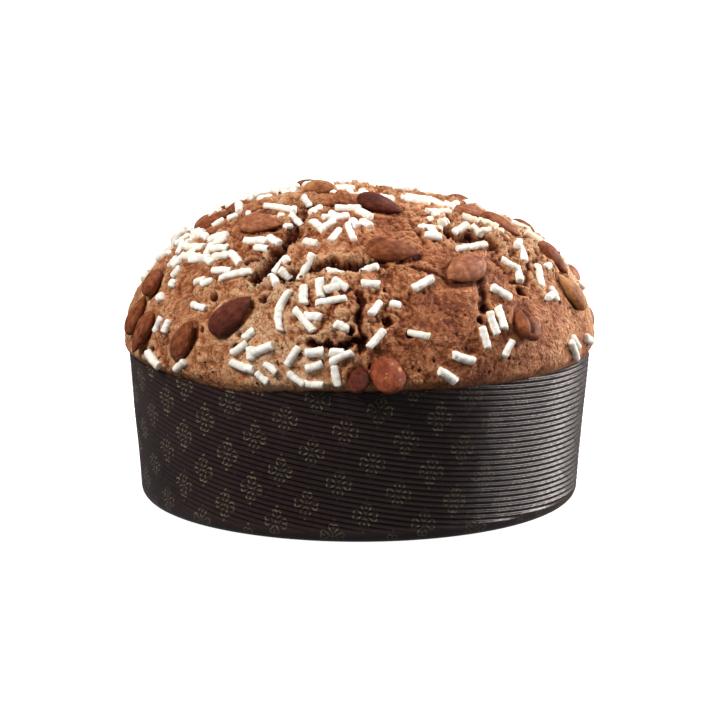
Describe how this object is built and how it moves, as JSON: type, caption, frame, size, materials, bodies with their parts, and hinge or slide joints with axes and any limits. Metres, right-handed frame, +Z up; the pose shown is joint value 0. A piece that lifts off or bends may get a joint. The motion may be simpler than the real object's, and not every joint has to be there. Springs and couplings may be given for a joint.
{
  "type": "panettone",
  "caption": "Low round panettone with a domed, cracked nut glaze, whole almonds and white sugar sticks, in a ribbed dark paper case.",
  "frame": {"origin": "centre of the flat underside of the paper case", "axes": "+Z up, -Y towards the side seen in the picture, +X to its right"},
  "size_m": [0.2259, 0.2349, 0.1505],
  "materials": {
    "crust": "matte",
    "almond": "matte",
    "sugar": "matte",
    "paper": "satin"
  },
  "bodies": {
    "root": {"paper_case": "paper", "bread": "crust", "almond_01": "almond", "almond_02": "almond", "almond_03": "almond", "almond_04": "almond", "almond_05": "almond", "almond_06": "almond", "almond_07": "almond", "almond_08": "almond", "almond_09": "almond", "almond_10": "almond", "almond_11": "almond", "almond_12": "almond", "almond_13": "almond", "almond_14": "almond", "almond_15": "almond", "almond_16": "almond", "almond_17": "almond", "almond_18": "almond", "almond_19": "almond", "almond_20": "almond", "almond_21": "almond", "almond_22": "almond", "almond_23": "almond", "almond_24": "almond", "almond_25": "almond", "almond_26": "almond", "almond_27": "almond", "almond_28": "almond", "almond_29": "almond", "almond_30": "almond", "almond_31": "almond", "almond_32": "almond", "almond_33": "almond", "almond_34": "almond", "almond_35": "almond", "almond_36": "almond", "almond_37": "almond", "almond_38": "almond", "almond_39": "almond"}
  },
  "joints": []
}
